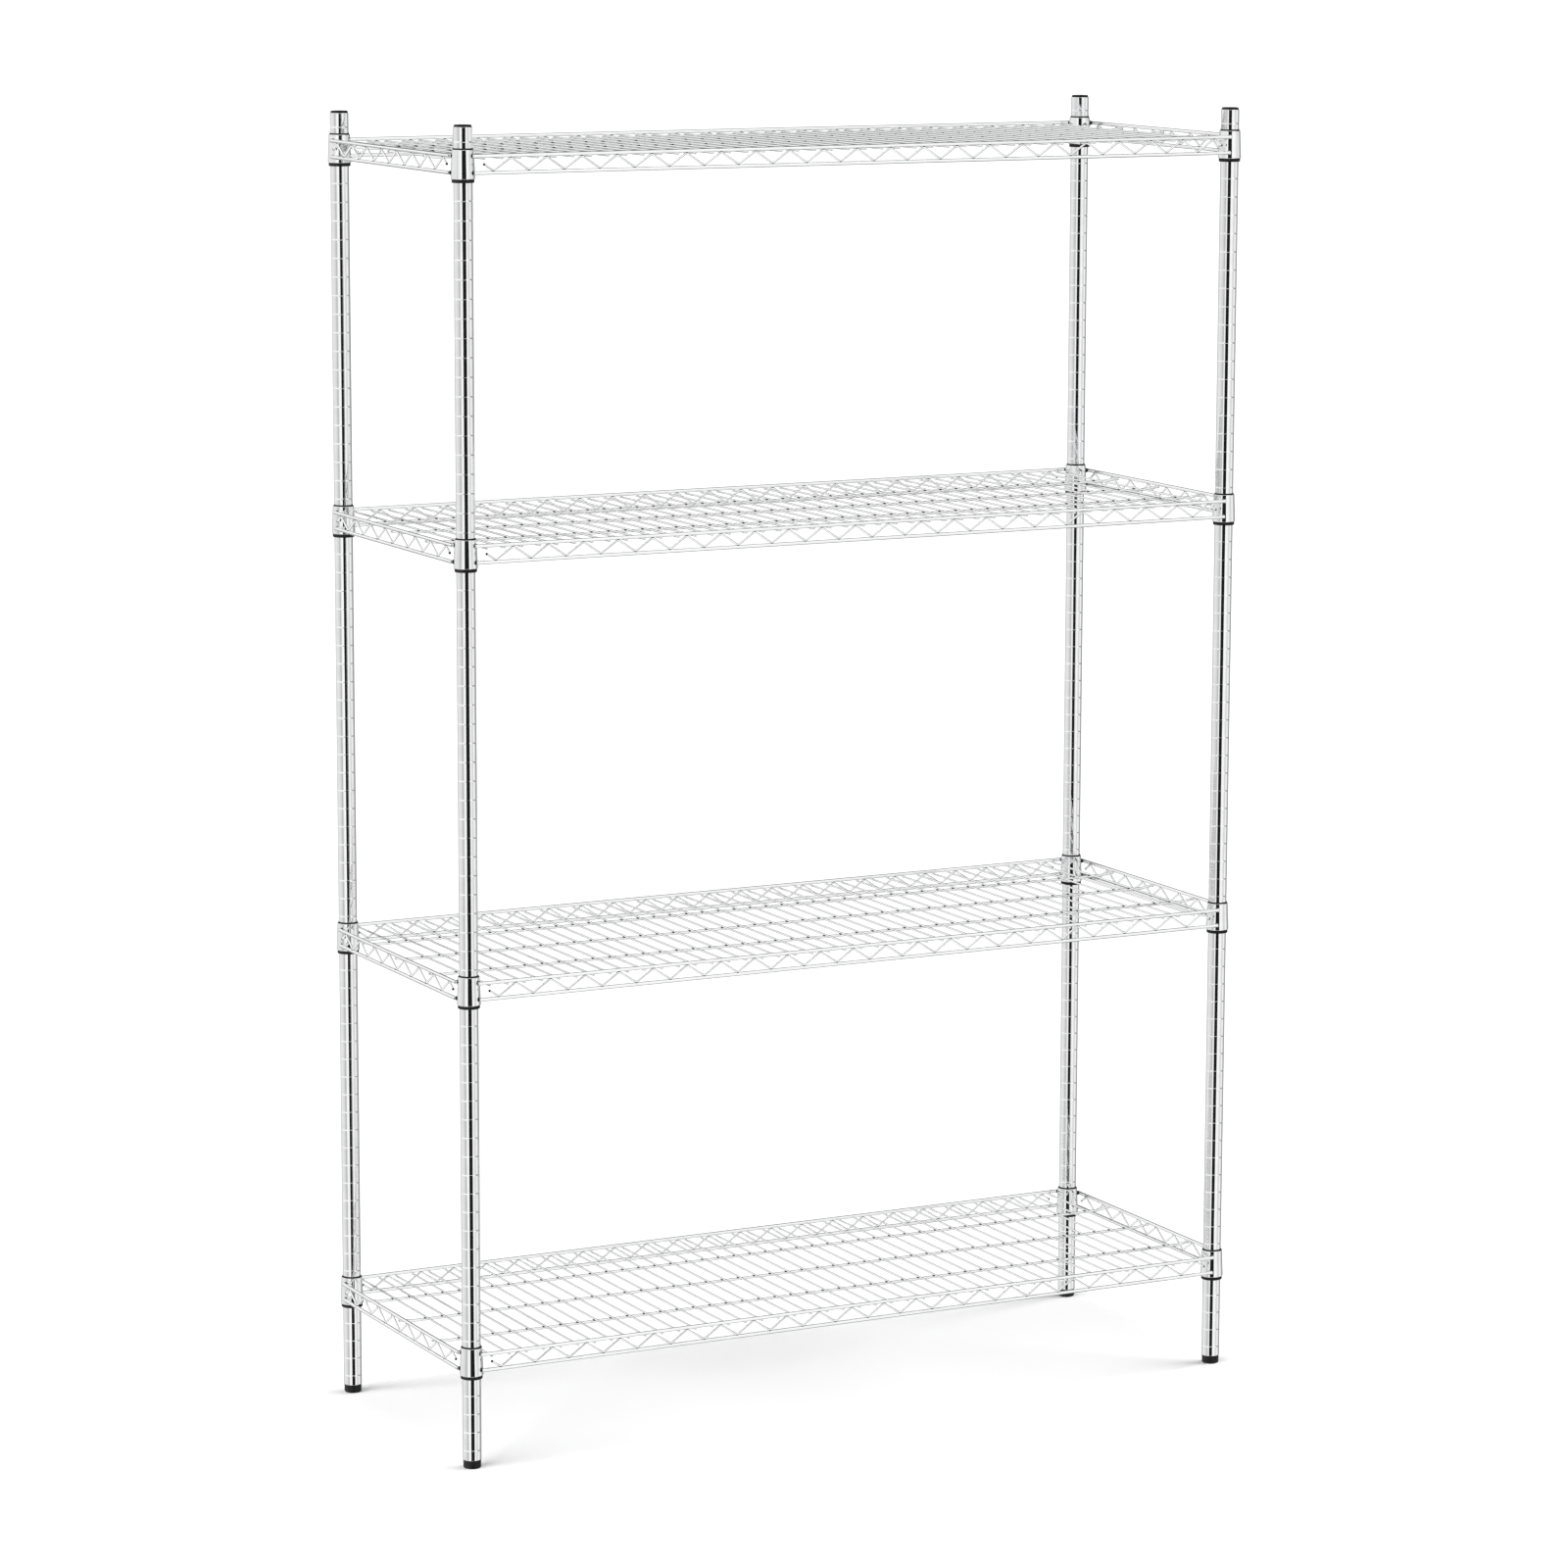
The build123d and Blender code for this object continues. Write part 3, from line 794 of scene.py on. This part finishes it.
BOX_PLACE = (8.0, -1.8, 1.35)
BOX_AIM = (0.6, 0.0, 0.1)
BOX_SIZE = (9.0, 2.2)
BOX_POWER = 2450.0
FILL_DIRECTION = (0.0, -0.1, 1.0)
FILL_STRENGTH = 0.3
FILL_SOFTNESS = 50.0            # degrees

CAMERA_PLACE = (-3.4833, -6.7647, 2.1579)
CAMERA_TURN = (27.207, 9.689, 0.149)    # degrees right, down and of roll
CAMERA_SENSOR = 36.0            # millimetres
CAMERA_LENS = 126.334575        # millimetres
CAMERA_RANGE = 400.0


def make_card(name, corners, material):
    """A flat four-cornered card."""
    mesh = bpy.data.meshes.new(name)
    mesh.from_pydata(corners, [], [(0, 1, 2, 3)])
    mesh.materials.append(material)
    card = bpy.data.objects.new(name, mesh)
    bpy.context.scene.collection.objects.link(card)
    return card


def make_floor():
    """A white floor under the rack that fades into the surround. The chrome doesn't reflect it."""
    material, tree, bsdf = shader("floor_white")
    bsdf.inputs["Base Color"].default_value = (FLOOR_WHITE, FLOOR_WHITE, FLOOR_WHITE, 1.0)
    bsdf.inputs["Roughness"].default_value = 1.0
    bsdf.inputs["Specular IOR Level"].default_value = 0.0
    coordinates = tree.nodes.new("ShaderNodeTexCoord")
    parts = tree.nodes.new("ShaderNodeSeparateXYZ")
    tree.links.new(coordinates.outputs["Object"], parts.inputs["Vector"])
    beyond_x = smooth_step(tree, maths(tree, "ABSOLUTE", parts.outputs["X"]), *FLOOR_FADE_X)
    beyond_y = smooth_step(tree, maths(tree, "ABSOLUTE", parts.outputs["Y"]), *FLOOR_FADE_Y)
    open_floor = tree.nodes.new("ShaderNodeBsdfTransparent")
    faded = tree.nodes.new("ShaderNodeMixShader")
    tree.links.new(maths(tree, "MAXIMUM", beyond_x, beyond_y), faded.inputs["Fac"])
    tree.links.new(bsdf.outputs["BSDF"], faded.inputs[1])
    tree.links.new(open_floor.outputs["BSDF"], faded.inputs[2])
    tree.links.new(faded.outputs["Shader"], tree.nodes["Material Output"].inputs["Surface"])
    reach = FLOOR_REACH
    corners = [(-reach, -reach, 0), (reach, -reach, 0), (reach, reach, 0), (-reach, reach, 0)]
    floor = make_card("floor", corners, material)
    floor.visible_glossy = False


def make_flag(name, start, end, bottom, top, shade):
    """A dark studio card seen only in reflections. The front one draws the dark line down each post."""
    material = bpy.data.materials.new(name)
    material.use_nodes = True
    tree = material.node_tree
    tree.nodes.clear()
    output = tree.nodes.new("ShaderNodeOutputMaterial")
    glow = tree.nodes.new("ShaderNodeEmission")
    glow.inputs["Color"].default_value = (shade, shade, shade, 1.0)
    tree.links.new(glow.outputs["Emission"], output.inputs["Surface"])
    flag = make_card(name, [(*start, bottom), (*end, bottom), (*end, top), (*start, top)], material)
    flag.visible_camera = False
    flag.visible_diffuse = False
    flag.visible_shadow = False
    flag.visible_transmission = False


def make_world():
    """A white studio whose brightness varies gently round the rack; the camera itself sees plain white."""
    world = bpy.data.worlds.new("studio")
    bpy.context.scene.world = world
    world.use_nodes = True
    tree = world.node_tree
    tree.nodes.clear()
    output = tree.nodes.new("ShaderNodeOutputWorld")
    background = tree.nodes.new("ShaderNodeBackground")
    coordinates = tree.nodes.new("ShaderNodeTexCoord")
    parts = tree.nodes.new("ShaderNodeSeparateXYZ")
    tree.links.new(coordinates.outputs["Generated"], parts.inputs["Vector"])
    forward = maths(tree, "MULTIPLY", parts.outputs["Y"], -1.0)
    bearing = maths(tree, "ARCTAN2", parts.outputs["X"], forward)
    share = maths(tree, "MULTIPLY_ADD", bearing, 0.5 / math.pi, 0.5)
    round_posts = grey_ramp(tree, share, POST_STUDIO)
    # The dark side draws a thin grey line along each edge of every wire.
    bright, dark = WIRE_STUDIO
    share_y = maths(tree, "MULTIPLY", parts.outputs["Y"], DARK_SIDE[1])
    aside = maths(tree, "MULTIPLY_ADD", parts.outputs["X"], DARK_SIDE[0], share_y)
    above = blended(tree, smooth_step(tree, aside, *DARK_ABOVE), bright, dark)
    below = blended(tree, smooth_step(tree, aside, *DARK_BELOW), bright, dark)
    shades = blended(tree, smooth_step(tree, parts.outputs["Z"], *POST_STUDIO_START), below, round_posts)
    shades = blended(tree, smooth_step(tree, parts.outputs["Z"], *POST_STUDIO_END), shades, above)
    path = tree.nodes.new("ShaderNodeLightPath")
    softened = blended(tree, path.outputs["Is Diffuse Ray"], shades, WORLD_ON_MATT)
    seen = blended(tree, path.outputs["Is Camera Ray"], softened, WORLD_TO_CAMERA)
    tree.links.new(seen, background.inputs["Color"])
    tree.links.new(background.outputs["Background"], output.inputs["Surface"])


def hold_lamp(name, lamp, direction):
    """The object that shines a lamp along a direction, unseen in reflections."""
    holder = bpy.data.objects.new(name, lamp)
    holder.rotation_mode = "QUATERNION"
    holder.rotation_quaternion = direction.to_track_quat("-Z", "Y")
    holder.visible_glossy = False
    bpy.context.scene.collection.objects.link(holder)
    return holder


def make_sun(name, direction, strength, softness):
    """A large soft lamp far away, so that the whole floor is lit evenly."""
    lamp = bpy.data.lights.new(name, "SUN")
    lamp.energy = strength
    lamp.angle = math.radians(softness)
    hold_lamp(name, lamp, -Vector(direction))


def make_soft_box(name, side):
    """A wide, low soft box far out at one end of the rack: it draws the soft shadow beside each foot."""
    lamp = bpy.data.lights.new(name, "AREA")
    lamp.shape = "RECTANGLE"
    lamp.size, lamp.size_y = BOX_SIZE
    lamp.energy = BOX_POWER
    place = Vector((side * BOX_PLACE[0], *BOX_PLACE[1:]))
    aim = Vector((side * BOX_AIM[0], *BOX_AIM[1:]))
    holder = hold_lamp(name, lamp, aim - place)
    holder.location = place
    holder.visible_camera = False


def make_camera():
    """The camera stands front left, a little above the rack's top, with a long lens."""
    yaw, pitch, roll = (math.radians(angle) for angle in CAMERA_TURN)
    forward = Vector((math.sin(yaw) * math.cos(pitch), math.cos(yaw) * math.cos(pitch), -math.sin(pitch)))
    right = Vector((math.cos(yaw), -math.sin(yaw), 0.0))
    up = right.cross(forward)
    tilted_right = right * math.cos(roll) + up * math.sin(roll)
    tilted_up = up * math.cos(roll) - right * math.sin(roll)
    data = bpy.data.cameras.new("camera")
    data.sensor_width = CAMERA_SENSOR
    data.lens = CAMERA_LENS
    data.clip_end = CAMERA_RANGE
    camera = bpy.data.objects.new("camera", data)
    axes = Matrix((tilted_right, tilted_up, -forward)).transposed()
    camera.matrix_world = Matrix.Translation(CAMERA_PLACE) @ axes.to_4x4()
    bpy.context.scene.collection.objects.link(camera)
    bpy.context.scene.camera = camera


make_floor()
make_flag("flag_front", start=(-2.45, -2.95), end=(0.0, -4.2), bottom=-3.0, top=3.0, shade=0.012)
make_flag("flag_high", start=(-3.6, -2.2), end=(0.4, -4.4), bottom=2.05, top=3.3, shade=0.03)
make_world()
make_soft_box("box_left", side=-1)
make_soft_box("box_right", side=1)
make_sun("fill_top", FILL_DIRECTION, FILL_STRENGTH, FILL_SOFTNESS)
make_camera()
bpy.context.scene.view_settings.view_transform = "Standard"
